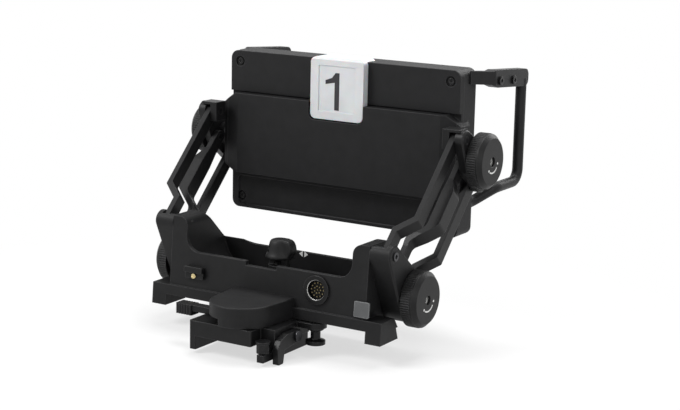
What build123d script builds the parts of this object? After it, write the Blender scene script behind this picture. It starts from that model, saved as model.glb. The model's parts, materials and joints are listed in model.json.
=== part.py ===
from build123d import *
import os
from math import atan2, cos, degrees, radians, sin

# Electronic viewfinder on a parallelogram lifting arm, in millimetres.
# X runs across the screen, +Y points to the operator and +Z up.
# The origin is the centre of the seat under the camera clamp block.

# Fits and gaps
seat_gap = 0.3
face_gap = 0.5
shaft_clearance = 0.05
cover_gap = 0.2

# Camera clamp block
clamp_half_width = 36.0
clamp_length = 64.0
clamp_web = 12.5
clamp_leg_depth = 11.0
clamp_leg_width = 6.0
clamp_lip_height = 6.0
clamp_notch_width = 13.0
clamp_notch_length = 14.0
lug_length = 21.0
lug_thickness = 4.5
lug_width = 18.0

# Pan joint
pan_y = -9.0
spindle_radius = 8.0
spindle_height = 13.0
pan_housing_radius = 27.0
pan_housing_height = 16.5
pan_housing_back_half = 30.0
lever_length = 63.0
lever_hub_radius = 12.5
lever_thickness = 5.2
lever_grip_height = 8.6
lever_grip_length = 16.0
lever_width = 11.0
lever_swing = 50.0

# Cast base
base_half_width = 95.0
base_front_y = 20.0
base_depth = 60.0
base_underside = 13.5
base_lean = 4.9
rim_height = 52.0
tower_height = 80.0
tower_depth = 26.0
tower_thickness = 15.0
base_wall = 4.0
floor_height = 26.0
flange_half_width = 111.0
flange_top = 22.0
flange_lip = 2.0
foot_bottom = 4.0
foot_width = 14.0
foot_depth = 26.0
saddle_front_radius = 12.0
saddle_back_radius = 34.0
tower_rounding = 8.0
bottom_cover_thickness = 2.5

# Lifting arms
arm_angle = 45.0
arm_length = 116.0
front_pivot_y = 32.3
front_pivot_z = 73.0
rear_pivot_y = 62.6
rear_pivot_z = 33.7
middle_pivot_y = 41.4
middle_pivot_z = 48.9
arm_thickness = 4.6
arm_width = 11.0
middle_arm_width = 14.0
middle_arm_thickness = 10.0
middle_arm_foot = 9.2
arm_offset = 14.2
front_jog_start = 19.5
rear_jog_start = 24.0
middle_jog_start = 37.0
jog_length = 12.7
jog_rounding = 1.5
middle_jog_rounding = 6.0
pin_radius = 3.0
arm_inset = 9.7
link_plate_thickness = 5.0
rear_hub_radius = 20.0
housing_wall = 1.8
housing_opening = 35.0
front_hub_radius = 8.5

# Coupler brackets and tilt joint
coupler_thickness = 7.5
coupler_lobe = 8.0
tilt_from_front_y = 20.2
tilt_from_front_z = -19.0
tilt_lobe = 14.0
clevis_thickness = 6.0
clevis_bridge = 2.2
tilt_shaft_radius = 4.0

# Friction knobs
knob_radius = 23.0
knob_thickness = 13.0
knob_groove_count = 72
knob_rim_chamfer = 3.4
knob_screw_radius = 3.4
knob_screw_height = 2.2
knob_counterbore = 4.0

# Head
head_half_width = 113.2
head_bottom = 67.4
head_front_y = 136.0
head_depth = 24.0
head_corner = 7.0
head_wall = 3.0
cover_thickness = 4.0
band_bottom = 172.0
band_rise = 1.0
bulge_half_width = 100.0
bulge_depth = 12.0
bulge_bottom = 101.0
bulge_top = 171.0
ear_thickness = 4.0
ear_bottom = 107.0
ear_top = 162.0
ear_reach = 13.5
tilt_boss_radius = 6.2
tally_half = 26.0
tally_bottom = 156.5
tally_recess = 1.5
tally_gap = 1.0
tally_wall = 2.0
tally_rounding = 5.0
screw_inset = 9.3
screw_sink = 2.0
screw_sink_radius = 4.5

# Screen side
bezel_side_margin = 15.2
bezel_depth = 18.0
bezel_margin = 3.5
screen_width = 163.8
screen_height = 92.1
screen_top_margin = 13.0
control_strip_height = 27.9
window_thickness = 2.5
panel_thickness = 8.0
board_thickness = 1.6
dial_radius = 7.0
dial_length = 9.0
button_radius = 4.5
button_travel = 1.2

# Handles
bar_thickness = 8.0
bar_height = 15.0
bar_drop = 4.1
bar_top = 208.0
bar_start_y = 148.0
bar_pad_y = 172.0
bar_end_y = 235.0
bar_arm_height = 11.0
rod_radius = 4.6
rod_back_y = 229.5
rod_bottom_z = 104.0
rod_kink_y = 186.0
rod_foot_inset = 7.2
rod_foot_z = 92.0
rod_bend = 11.0

# Front fittings
connector_x = 49.4
connector_z = 38.8
connector_ring = 11.75
connector_bore = 8.2
connector_depth = 7.5
connector_pin_radius = 0.55
pad_x = 92.0
pad_z = 29.8
pad_width = 13.5
pad_height = 12.5
pad_thickness = 1.6
clamp_x = -68.5
clamp_z = 35.5
lock_y = 42.0
lock_base = 54.0
lock_top = 70.0
lock_radius = 12.0
lock_stud_radius = 4.0
release_pin_radius = 2.5

# Places worked out from the sizes above
head_height = screen_height + screen_top_margin + control_strip_height + 2 * bezel_margin
ear_half_width = head_half_width + ear_thickness
bezel_half_width = head_half_width - bezel_side_margin
rod_foot_x = head_half_width - rod_foot_inset
lower_arm_inner = head_half_width - arm_inset
link_dy = arm_length * cos(radians(arm_angle))
link_dz = arm_length * sin(radians(arm_angle))
front_up = (front_pivot_y + link_dy, front_pivot_z + link_dz)
rear_up = (rear_pivot_y + link_dy, rear_pivot_z + link_dz)
middle_up = (middle_pivot_y + link_dy, middle_pivot_z + link_dz)
tilt_axis = (front_up[0] + tilt_from_front_y, front_up[1] + tilt_from_front_z)
lower_arm_outer = lower_arm_inner + arm_thickness
upper_arm_inner = lower_arm_inner + arm_offset
upper_arm_outer = upper_arm_inner + arm_thickness
plate_inner = lower_arm_outer + face_gap
plate_outer = plate_inner + link_plate_thickness
coupler_inner = upper_arm_outer + face_gap
coupler_outer = coupler_inner + coupler_thickness
lower_knob_inner = plate_outer + face_gap + seat_gap
upper_knob_inner = coupler_outer + face_gap
clamp_back = clamp_length / 2
lean_slope = sin(radians(base_lean)) / cos(radians(base_lean))
pan_floor = clamp_web + cover_gap + seat_gap
pan_top = pan_floor + pan_housing_height
head_top = head_bottom + head_height
head_back_y = head_front_y + head_depth
cover_back_y = head_front_y + cover_thickness
bulge_front_y = head_front_y - bulge_depth
bezel_bottom = head_bottom + bezel_margin
bezel_top = head_top - bezel_margin
bezel_back_y = head_back_y + bezel_depth
screen_z = bezel_top - screen_top_margin - screen_height / 2
control_z = (bezel_bottom + screen_z - screen_height / 2) / 2
tally_top = head_top + tally_wall
tally_front_y = bulge_front_y + tally_recess
base_back_y = base_front_y + base_depth
bar_inner = ear_half_width + cover_gap
bar_x = bar_inner + bar_thickness / 2
arm_direction = (0, cos(radians(arm_angle)), sin(radians(arm_angle)))
arm_normal = (0, sin(radians(arm_angle)), -cos(radians(arm_angle)))


def front_y(z):
    """Y of the leaning front face of the base at height z."""
    return base_front_y + lean_slope * (z - flange_top)


def save(name, part):
    part.label = name
    export_step(part, f"parts/{name}.step")


def mirrored(piece):
    with BuildPart() as other:
        mirror(piece.part, about=Plane.YZ)
    return other


def side_plane(x):
    """A plane square to X, whose sketch axes are world Y and Z."""
    return Plane(origin=(x, 0, 0), x_dir=(0, 1, 0), z_dir=(1, 0, 0))


def front_face(x, z):
    """A plane on the leaning front face of the base, facing forward."""
    normal = (0, -cos(radians(base_lean)), sin(radians(base_lean)))
    return Plane(origin=(x, front_y(z), z), x_dir=(1, 0, 0), z_dir=normal)


def wall_plane(y):
    """A plane square to Y, facing the photographer, with world X and Z as its axes."""
    return Plane(origin=(0, y, 0), x_dir=(1, 0, 0), z_dir=(0, -1, 0))


def back_plane(y):
    """A plane square to Y, facing the operator."""
    return Plane(origin=(0, y, 0), x_dir=(-1, 0, 0), z_dir=(0, 1, 0))


def knurled_outline(radius, grooves, depth):
    """Sketch of a round with shallow grooves around it, inside a BuildSketch."""
    Circle(radius)
    with PolarLocations(radius, grooves):
        Circle(depth, mode=Mode.SUBTRACT)


os.makedirs("parts", exist_ok=True)

# Camera clamp: block with two legs, lug and a notch for the thumb screw
thumb_x = clamp_half_width - clamp_notch_width / 2 + 1.0
thumb_y = -clamp_back + clamp_notch_length / 2 - 1.0
lug_x = clamp_half_width + lug_length - lug_width / 2
lug_y = clamp_back - lug_width / 2
with BuildPart() as clamp_block:
    with BuildSketch(Plane.XY):
        Rectangle(2 * clamp_half_width, clamp_length)
    extrude(amount=clamp_web)
    with BuildSketch(Plane.XY):
        with Locations((clamp_leg_width / 2 - clamp_half_width, 0)):
            Rectangle(clamp_leg_width, clamp_length)
        with Locations((clamp_half_width - clamp_leg_width / 2 - 1.0, 0)):
            Rectangle(clamp_leg_width, clamp_length)
    extrude(amount=-clamp_leg_depth)
    with BuildSketch(Plane.XY.offset(clamp_web - lug_thickness)):
        with Locations((clamp_half_width + lug_length / 2 - lug_width / 4, lug_y)):
            Rectangle(lug_length - lug_width / 2, lug_width)
        with Locations((lug_x, lug_y)):
            Circle(lug_width / 2)
    extrude(amount=lug_thickness)
    notch_floor = clamp_lip_height - clamp_leg_depth
    with BuildSketch(Plane.XY.offset(notch_floor)):
        with Locations((clamp_half_width, -clamp_back)):
            Rectangle(2 * clamp_notch_width, 2 * clamp_notch_length)
    extrude(amount=clamp_web + clamp_leg_depth, mode=Mode.SUBTRACT)
    with Locations((thumb_x, thumb_y, 0)):
        Hole(radius=release_pin_radius + shaft_clearance)
    with Locations((lug_x, lug_y, clamp_web)):
        Hole(radius=release_pin_radius + shaft_clearance)
    chamfer(clamp_block.faces().sort_by(Axis.Y)[0].edges().filter_by(Axis.Z), 0.8)
save("clamp_block", clamp_block.part)

# Spindle that the whole viewfinder pans on, screwed into the block
with BuildPart() as pan_spindle:
    with BuildSketch(Plane.XY.offset(clamp_web)):
        with Locations((0, pan_y)):
            Circle(spindle_radius)
    extrude(amount=spindle_height)
    chamfer(pan_spindle.faces().sort_by(Axis.Z)[-1].edges(), 1.0)
save("pan_spindle", pan_spindle.part)

# Thumb screw: flanged, knurled head on a stem that passes the lower lip
thumb_floor = notch_floor + cover_gap + seat_gap
with BuildPart() as thumb_screw:
    with BuildSketch(Plane.XY.offset(thumb_floor)):
        with Locations((thumb_x, thumb_y)):
            knurled_outline(5.0, 24, 0.35)
    extrude(amount=7.5)
    with BuildSketch(Plane.XY.offset(thumb_floor + 7.5)):
        with Locations((thumb_x, thumb_y)):
            Circle(5.8)
    extrude(amount=1.8)
    with BuildSketch(Plane.XY.offset(thumb_floor)):
        with Locations((thumb_x, thumb_y)):
            Circle(release_pin_radius)
    extrude(amount=-(thumb_floor + clamp_leg_depth))
save("thumb_screw", thumb_screw.part)

# Spring plunger: spool-shaped knob and pin under the lug
spool_top = clamp_web - lug_thickness - seat_gap
with BuildPart() as plunger_knob:
    with BuildSketch(Plane.XZ.offset(-lug_y)):
        with BuildLine():
            Polyline(
                (lug_x, spool_top), (lug_x + 6.5, spool_top), (lug_x + 6.5, spool_top - 1.6),
                (lug_x + 4.0, spool_top - 3.0), (lug_x + 4.0, spool_top - 9.0),
                (lug_x + 8.0, spool_top - 10.5), (lug_x + 8.0, spool_top - 13.5),
                (lug_x, spool_top - 13.5), close=True,
            )
        make_face()
    revolve(axis=Axis((lug_x, lug_y, 0), (0, 0, 1)))
    with BuildSketch(Plane.XY.offset(spool_top)):
        with Locations((lug_x, lug_y)):
            Circle(release_pin_radius)
    extrude(amount=lug_thickness + seat_gap)
save("plunger_knob", plunger_knob.part)

# Release lever on the right flank of the block, with its downward tab
release_x = clamp_half_width + seat_gap
release_y = 6.0
release_z = 3.5
release_reach = 27.0
release_thickness = 5.2
with BuildPart() as release_lever:
    with BuildSketch(side_plane(release_x)):
        with BuildLine():
            Polyline(
                (release_y + 5.0, release_z + 4.5), (release_y + 5.0, release_z - 4.5),
                (release_y - release_reach + 9.5, release_z - 7.5),
                (release_y - release_reach + 7.5, release_z - 18.0),
                (release_y - release_reach + 0.5, release_z - 18.0),
                (release_y - release_reach, release_z - 5.0),
                (release_y - release_reach + 4.0, release_z + 1.0),
                (release_y - release_reach + 14.0, release_z + 4.5), close=True,
            )
        make_face()
        with Locations((release_y, release_z)):
            Circle(release_pin_radius + shaft_clearance, mode=Mode.SUBTRACT)
    extrude(amount=release_thickness)
    fillet(release_lever.edges().filter_by(Axis.X).filter_by(GeomType.LINE), 1.0)
save("release_lever", release_lever.part)

with BuildPart() as release_pin:
    with BuildSketch(side_plane(clamp_half_width)):
        with Locations((release_y, release_z)):
            Circle(release_pin_radius)
    extrude(amount=release_thickness + 2 * seat_gap)
    with BuildSketch(side_plane(release_x + release_thickness + seat_gap)):
        with Locations((release_y, release_z)):
            Circle(release_pin_radius + 1.8)
    extrude(amount=1.6)
save("release_pin", release_pin.part)

# Pan housing: D-shaped nose of the base around the spindle, slotted for the lock lever
slot_height = lever_thickness + 2 * seat_gap
housing_profile = [
    (pan_y - 2 * pan_housing_radius, pan_floor),
    (front_y(pan_floor) - flange_lip, pan_floor),
    (front_y(flange_top) - flange_lip, flange_top),
    (front_y(flange_top), flange_top),
    (front_y(pan_top), pan_top),
    (pan_y - 2 * pan_housing_radius, pan_top),
]
with BuildPart() as pan_housing:
    with BuildSketch(Plane.YZ.offset(-2 * pan_housing_radius)):
        with BuildLine():
            Polyline(*housing_profile, close=True)
        make_face()
    extrude(amount=4 * pan_housing_radius)
    with BuildSketch(Plane.XY.offset(pan_floor)):
        with BuildLine():
            Polyline(
                (-pan_housing_radius, pan_y), (-pan_housing_back_half, base_front_y + 10),
                (pan_housing_back_half, base_front_y + 10), (pan_housing_radius, pan_y), close=True,
            )
        make_face()
        with Locations((0, pan_y)):
            Circle(pan_housing_radius)
    extrude(amount=pan_housing_height + 1, mode=Mode.INTERSECT)
    fillet(pan_housing.faces().sort_by(Axis.Z)[-1].edges().filter_by(GeomType.CIRCLE), 1.2)
    with Locations((0, pan_y, pan_floor)):
        Cylinder(
            spindle_radius + shaft_clearance, spindle_height,
            align=(Align.CENTER, Align.CENTER, Align.MIN), mode=Mode.SUBTRACT,
        )
        Cylinder(
            lever_hub_radius + seat_gap, slot_height,
            align=(Align.CENTER, Align.CENTER, Align.MIN), mode=Mode.SUBTRACT,
        )
    slot_margin = degrees(atan2(lever_width / 2 + 1.0, lever_hub_radius))
    with BuildSketch(Plane.XY.offset(pan_floor)):
        with BuildLine():
            slot_arc = CenterArc(
                (0, pan_y), 2 * pan_housing_radius, 180 - slot_margin, lever_swing + 2 * slot_margin
            )
            Line((0, pan_y), slot_arc @ 0)
            Line(slot_arc @ 1, (0, pan_y))
        make_face()
    extrude(amount=slot_height, mode=Mode.SUBTRACT)
save("pan_housing", pan_housing.part)

# Pan lock lever: a clamping ring round the spindle with a ribbed grip to the left
lever_floor = pan_floor + seat_gap
with BuildPart() as pan_lever:
    with BuildSketch(Plane.XY.offset(lever_floor)):
        with Locations((0, pan_y)):
            Circle(lever_hub_radius)
        with Locations((-lever_length / 2, pan_y)):
            Rectangle(lever_length, lever_width * 0.72)
        with Locations((0, pan_y)):
            Circle(spindle_radius + shaft_clearance, mode=Mode.SUBTRACT)
    extrude(amount=lever_thickness)
    with BuildSketch(Plane.XY.offset(lever_floor + lever_thickness - lever_grip_height)):
        with Locations((lever_grip_length / 2 - lever_length, pan_y)):
            RectangleRounded(lever_grip_length, lever_width, 1.5)
    extrude(amount=lever_grip_height)
    rib_plane = Plane.XY.offset(lever_floor + lever_thickness - lever_grip_height)
    with BuildSketch(rib_plane):
        for side in (-1, 1):
            for rib in range(5):
                with Locations((2.4 + 2.6 * rib - lever_length, pan_y + side * lever_width / 2)):
                    Circle(0.6)
    extrude(amount=lever_grip_height, mode=Mode.SUBTRACT)
save("pan_lever", pan_lever.part)

# Cast base: side profile pulled across, saddle between the towers, trough and flange with feet
tower_back_y = front_y(tower_height) + tower_depth
with BuildPart() as base_casting:
    with BuildSketch(Plane.YZ.offset(-base_half_width)):
        with BuildLine():
            Polyline(
                (front_y(base_underside), base_underside), (front_y(tower_height), tower_height),
                (tower_back_y, tower_height), (tower_back_y + 8, tower_height - 8),
                (base_back_y, rim_height), (base_back_y, base_underside), close=True,
            )
        make_face()
    extrude(amount=2 * base_half_width)
    tower_inner = base_half_width - tower_thickness
    split_y = (base_front_y + base_back_y) / 2
    for radius, near, far in (
        (saddle_front_radius, base_front_y - 10, split_y),
        (saddle_back_radius, split_y, base_back_y + 10),
    ):
        with BuildSketch(wall_plane(near)) as saddle:
            with Locations((0, rim_height + tower_height / 2)):
                Rectangle(2 * tower_inner, tower_height)
            fillet(saddle.vertices().group_by(Axis.Z)[0], radius)
            flare = tower_inner + tower_rounding
            with Locations((0, tower_height)):
                Rectangle(2 * flare, 2 * tower_rounding)
            with Locations((-flare, tower_height - tower_rounding), (flare, tower_height - tower_rounding)):
                Circle(tower_rounding, mode=Mode.SUBTRACT)
        extrude(amount=near - far, mode=Mode.SUBTRACT)
    trough_front = front_y(rim_height) + base_wall
    trough_length = base_back_y - 3 - trough_front
    trough_y = trough_front + trough_length / 2
    with BuildSketch(wall_plane(trough_front)) as trough:
        with Locations((0, floor_height + tower_height / 2)):
            Rectangle(2 * tower_inner, tower_height)
        fillet(trough.vertices().group_by(Axis.Z)[0], saddle_back_radius)
    extrude(amount=-trough_length, mode=Mode.SUBTRACT)
    with BuildSketch(Plane.XY.offset(base_underside)):
        with Locations((0, trough_y)):
            RectangleRounded(2 * (base_half_width - 6), trough_length, 6)
    extrude(amount=floor_height - base_underside - 3, mode=Mode.SUBTRACT)
    # Flange lip along the front foot, with the two feet
    lip_profile = [
        (front_y(base_underside) - flange_lip, base_underside), (front_y(flange_top) - flange_lip, flange_top),
        (front_y(flange_top) + foot_depth - 8, flange_top), (front_y(flange_top) + foot_depth - 2, base_underside),
    ]
    foot_profile = [
        (front_y(foot_bottom) - flange_lip, foot_bottom), (front_y(flange_top) - flange_lip, flange_top),
        (front_y(flange_top) + foot_depth - 8, flange_top), (front_y(foot_bottom) + foot_depth, foot_bottom),
    ]
    with BuildSketch(Plane.YZ.offset(-flange_half_width)) as lip_sketch:
        with BuildLine():
            Polyline(*lip_profile, close=True)
        make_face()
    extrude(amount=flange_half_width - base_half_width + 6)
    with BuildSketch(Plane.YZ.offset(base_half_width - 6)):
        with BuildLine():
            Polyline(*lip_profile, close=True)
        make_face()
    extrude(amount=flange_half_width - base_half_width + 6)
    with BuildSketch(Plane.YZ.offset(-base_half_width)):
        with BuildLine():
            Polyline(
                lip_profile[0], lip_profile[1],
                (front_y(flange_top) + base_wall, flange_top), (front_y(flange_top) + base_wall, base_underside),
                close=True,
            )
        make_face()
    extrude(amount=2 * base_half_width)
    for left in (-flange_half_width, flange_half_width - foot_width):
        with BuildSketch(Plane.YZ.offset(left)):
            with BuildLine():
                Polyline(*foot_profile, close=True)
            make_face()
        extrude(amount=foot_width)
    # Bosses that the links turn on, with their bores
    for side in (-1, 1):
        for y, z, radius, bore in (
            (front_pivot_y, front_pivot_z, front_hub_radius - housing_wall - face_gap, pin_radius),
            (middle_pivot_y, middle_pivot_z, middle_arm_foot / 2, pin_radius),
            (rear_pivot_y, rear_pivot_z, 13.0, pin_radius),
        ):
            with BuildSketch(side_plane(side * (base_half_width - 2))):
                with Locations((y, z)):
                    Circle(radius)
            extrude(amount=side * (lower_arm_inner - seat_gap - base_half_width + 2))
            with BuildSketch(side_plane(side * (base_half_width - 14))):
                with Locations((y, z)):
                    Circle(bore)
            extrude(amount=side * (lower_arm_inner - base_half_width + 14), mode=Mode.SUBTRACT)
    # Boss in the trough for the centre lock knob
    with BuildSketch(Plane.XY.offset(floor_height - 3)):
        with Locations((0, lock_y)):
            Circle(lock_radius - 3)
            Circle(lock_stud_radius, mode=Mode.SUBTRACT)
    extrude(amount=lock_base - seat_gap - floor_height + 3)
    # Round window for the connector through the front wall
    with BuildSketch(front_face(connector_x, connector_z)):
        Circle(connector_bore + 1.0 + cover_gap / 2)
    extrude(amount=-12, mode=Mode.SUBTRACT)
    # Small dip in the middle of the front rim
    with BuildSketch(wall_plane(base_front_y - 10)):
        with Locations((-5, rim_height)):
            Rectangle(30, 7)
    extrude(amount=-30, mode=Mode.SUBTRACT)
save("base_casting", base_casting.part)

with BuildPart() as bottom_cover:
    with BuildSketch(Plane.XY.offset(base_underside)):
        with Locations((0, trough_y)):
            RectangleRounded(2 * (base_half_width - 6) - 2 * cover_gap, trough_length - 2 * cover_gap, 6)
    extrude(amount=bottom_cover_thickness)
save("bottom_cover", bottom_cover.part)

# Link housings beside the towers: outer plate with a wall round the front of the arm ends
front_pivot = Vector(front_pivot_y, front_pivot_z)
rear_pivot = Vector(rear_pivot_y, rear_pivot_z)
opening_edge = front_pivot + Vector(front_hub_radius - housing_wall, 0).rotate(
    Axis.Z, 180 - housing_opening
)
inner_floor = rear_pivot_z - rear_hub_radius + housing_wall
with BuildPart() as link_plate_right:
    with BuildSketch(side_plane(base_half_width)) as plate_sketch:
        with Locations((front_pivot_y, front_pivot_z)):
            Circle(front_hub_radius)
        with Locations((rear_pivot_y, rear_pivot_z)):
            Circle(rear_hub_radius)
        make_hull()
    extrude(amount=plate_outer - base_half_width)
    chamfer(link_plate_right.faces().sort_by(Axis.X)[-1].edges(), 1.2)
    with BuildSketch(side_plane(base_half_width)) as inside:
        with Locations((front_pivot_y, front_pivot_z)):
            Circle(front_hub_radius - housing_wall)
        with Locations((rear_pivot_y, rear_pivot_z)):
            Circle(rear_hub_radius - housing_wall)
        make_hull()
        with BuildLine():
            Polyline(
                (front_pivot_y, front_pivot_z), (opening_edge.X, opening_edge.Y),
                (opening_edge.X + arm_width, opening_edge.Y + arm_length),
                (rear_pivot_y + arm_length, rear_pivot_z + arm_length),
                (rear_pivot_y + arm_length, inner_floor), (rear_pivot_y, inner_floor),
                (rear_pivot_y, rear_pivot_z), close=True,
            )
        make_face()
    extrude(amount=plate_inner - base_half_width, mode=Mode.SUBTRACT)
    with BuildSketch(side_plane(base_half_width)):
        for y, z in ((front_pivot_y, front_pivot_z), (rear_pivot_y, rear_pivot_z)):
            with Locations((y, z)):
                Circle(pin_radius + shaft_clearance)
    extrude(amount=plate_outer - base_half_width, mode=Mode.SUBTRACT)
link_plate_left = mirrored(link_plate_right)
save("link_plate_right", link_plate_right.part)
save("link_plate_left", link_plate_left.part)


def link(y, z, jog_start, thickness, rounding, plan):
    """Right-hand link from the pivot at y and z: lower run, jog outwards, long upper run."""
    run = Plane(origin=(0, y, z), x_dir=arm_direction, z_dir=arm_normal)
    end = arm_width / 2
    reach = arm_length + end
    rise = upper_arm_inner + thickness - lower_arm_outer
    outer_jog_end = jog_start + jog_length * rise / arm_offset
    thin_start = arm_length - 2.5 * arm_width
    points = [
        (-end, lower_arm_inner), (-end, lower_arm_outer), (jog_start, lower_arm_outer),
        (outer_jog_end, upper_arm_inner + thickness),
    ]
    radii = [0.5, 0.5, rounding, rounding]
    if thickness > arm_thickness:
        points += [
            (thin_start, upper_arm_inner + thickness), (thin_start + arm_width, upper_arm_outer),
        ]
        radii += [rounding, rounding]
    points += [
        (reach, upper_arm_outer), (reach, upper_arm_inner),
        (jog_start + jog_length + 3, upper_arm_inner), (jog_start + 3, lower_arm_inner),
    ]
    radii += [0.5, 0.5, rounding, rounding]
    with BuildPart() as piece:
        with BuildSketch(run.offset(-middle_arm_width)):
            with BuildLine():
                FilletPolyline(*points, radius=radii, close=True)
            make_face()
        extrude(amount=2 * middle_arm_width)
        across = Plane(origin=(lower_arm_inner - 1, y, z), x_dir=arm_direction, z_dir=(1, 0, 0))
        with BuildSketch(across):
            with BuildLine():
                Polyline(*plan, *[(d, -w) for d, w in reversed(plan)], close=True)
            make_face()
            with Locations((0, 0)):
                Circle(plan[0][1])
            with Locations((arm_length, 0)):
                Circle(plan[-1][1])
        extrude(amount=coupler_outer, mode=Mode.INTERSECT)
        with BuildSketch(across):
            with Locations((0, 0), (arm_length, 0)):
                Circle(pin_radius + shaft_clearance)
        extrude(amount=coupler_outer, mode=Mode.SUBTRACT)
    return piece


straight_plan = [(0, arm_width / 2), (arm_length, arm_width / 2)]
waisted_plan = [
    (0, middle_arm_foot / 2), (middle_jog_start - 4, middle_arm_foot / 2),
    (middle_jog_start + 8, middle_arm_width / 2), (arm_length - 30, middle_arm_width / 2),
    (arm_length - 16, arm_width / 2), (arm_length, arm_width / 2),
]
front_link_right = link(
    front_pivot_y, front_pivot_z, front_jog_start, arm_thickness, jog_rounding, straight_plan
)
middle_link_right = link(
    middle_pivot_y, middle_pivot_z, middle_jog_start,
    middle_arm_thickness, middle_jog_rounding, waisted_plan,
)
rear_link_right = link(
    rear_pivot_y, rear_pivot_z, rear_jog_start, arm_thickness, jog_rounding, straight_plan
)
for name, piece in (
    ("front_link", front_link_right), ("middle_link", middle_link_right), ("rear_link", rear_link_right),
):
    save(f"{name}_right", piece.part)
    save(f"{name}_left", mirrored(piece).part)

# Pins and shafts of the lower pivots
bolt_start = base_half_width - 14
with BuildPart() as lower_pins:
    for side in (-1, 1):
        with BuildSketch(side_plane(side * bolt_start)):
            with Locations((front_pivot_y, front_pivot_z)):
                Circle(pin_radius)
        extrude(amount=side * (plate_outer - bolt_start))
        with BuildSketch(side_plane(side * plate_outer)):
            with Locations((front_pivot_y, front_pivot_z)):
                Circle(3.6)
                RegularPolygon(1.9, 6, mode=Mode.SUBTRACT)
        extrude(amount=side * 1.0)
        with BuildSketch(side_plane(side * bolt_start)):
            with Locations((middle_pivot_y, middle_pivot_z)):
                Circle(pin_radius)
        extrude(amount=side * (lower_arm_outer + cover_gap - bolt_start))
save("lower_pivot_pins", lower_pins.part)

lower_shaft_end = lower_knob_inner + knob_thickness - knob_counterbore + cover_gap
with BuildPart() as rear_pivot_shafts:
    for side in (-1, 1):
        with BuildSketch(side_plane(side * bolt_start)):
            with Locations((rear_pivot_y, rear_pivot_z)):
                Circle(pin_radius)
        extrude(amount=side * (lower_shaft_end - bolt_start))
save("rear_pivot_shafts", rear_pivot_shafts.part)


def slotted_heads(x, y, z):
    """Pair of slotted screw heads, one on each side, on the axis through y and z."""
    with BuildPart() as piece:
        for side in (-1, 1):
            with BuildSketch(side_plane(side * x)):
                with Locations((y, z)):
                    Circle(knob_screw_radius)
            extrude(amount=side * knob_screw_height)
            with BuildSketch(side_plane(side * (x + knob_screw_height))):
                with Locations((y, z)):
                    Rectangle(2 * knob_screw_radius + 1, 1.2, rotation=arm_angle)
            extrude(amount=-side, mode=Mode.SUBTRACT)
    return piece


save("lower_knob_screws", slotted_heads(lower_shaft_end, rear_pivot_y, rear_pivot_z).part)


def knob(x, y, z, bore):
    """Right-hand friction knob with a knurled rim and a counterbore for its screw."""
    with BuildPart() as piece:
        with BuildSketch(side_plane(x)):
            with Locations((y, z)):
                knurled_outline(knob_radius, knob_groove_count, 0.5)
        extrude(amount=knob_thickness - knob_rim_chamfer - 1.5)
        with BuildSketch(side_plane(x)):
            with Locations((y, z)):
                Circle(knob_radius - 0.4)
        extrude(amount=knob_thickness)
        chamfer(piece.faces().sort_by(Axis.X)[-1].edges(), knob_rim_chamfer)
        with BuildSketch(side_plane(x)):
            with Locations((y, z)):
                Circle(bore + shaft_clearance)
        extrude(amount=knob_thickness, mode=Mode.SUBTRACT)
        with BuildSketch(side_plane(x + knob_thickness)):
            with Locations((y, z)):
                Circle(knob_screw_radius + face_gap)
        extrude(amount=-knob_counterbore, mode=Mode.SUBTRACT)
    return piece


lower_knob_right = knob(lower_knob_inner, rear_pivot_y, rear_pivot_z, pin_radius)
save("lower_knob_right", lower_knob_right.part)
save("lower_knob_left", mirrored(lower_knob_right).part)

# Coupler brackets: outer plate with four lobes and a clevis ear over the front link
ear_outer = upper_arm_inner - face_gap
ear_inner = ear_outer - clevis_thickness
bridge_z = front_up[1] + arm_width / 2 + 0.8
with BuildPart() as coupler_right:
    with BuildSketch(side_plane(coupler_inner)):
        for (y, z), radius in (
            (front_up, coupler_lobe), (middle_up, coupler_lobe - 1),
            (rear_up, coupler_lobe), (tilt_axis, tilt_lobe),
        ):
            with Locations((y, z)):
                Circle(radius)
        make_hull()
    extrude(amount=coupler_thickness)
    chamfer(coupler_right.faces().sort_by(Axis.X)[-1].edges(), 1.0)
    with BuildSketch(side_plane(ear_inner)):
        with Locations((front_up[0], (front_up[1] - coupler_lobe + bridge_z + clevis_bridge) / 2)):
            Rectangle(2 * coupler_lobe - 2, bridge_z + clevis_bridge - front_up[1] + coupler_lobe)
    extrude(amount=clevis_thickness)
    with BuildSketch(side_plane(ear_inner)):
        with Locations((front_up[0], bridge_z + clevis_bridge / 2)):
            Rectangle(2 * coupler_lobe - 2, clevis_bridge)
    extrude(amount=coupler_inner + coupler_thickness / 2 - ear_inner)
    for (y, z), radius in (
        (front_up, pin_radius), (middle_up, pin_radius),
        (rear_up, pin_radius), (tilt_axis, tilt_shaft_radius + shaft_clearance),
    ):
        with BuildSketch(side_plane(ear_inner - 1)):
            with Locations((y, z)):
                Circle(radius)
        extrude(amount=coupler_outer - ear_inner + 2, mode=Mode.SUBTRACT)
save("coupler_right", coupler_right.part)
save("coupler_left", mirrored(coupler_right).part)

with BuildPart() as upper_pins:
    for side in (-1, 1):
        for (y, z), start in (
            (front_up, ear_inner), (middle_up, upper_arm_inner - cover_gap), (rear_up, upper_arm_inner),
        ):
            with BuildSketch(side_plane(side * start)):
                with Locations((y, z)):
                    Circle(pin_radius)
            extrude(amount=side * (coupler_outer - start))
save("upper_pivot_pins", upper_pins.part)

upper_knob_right = knob(upper_knob_inner, *tilt_axis, tilt_shaft_radius)
save("upper_knob_right", upper_knob_right.part)
save("upper_knob_left", mirrored(upper_knob_right).part)

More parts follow.
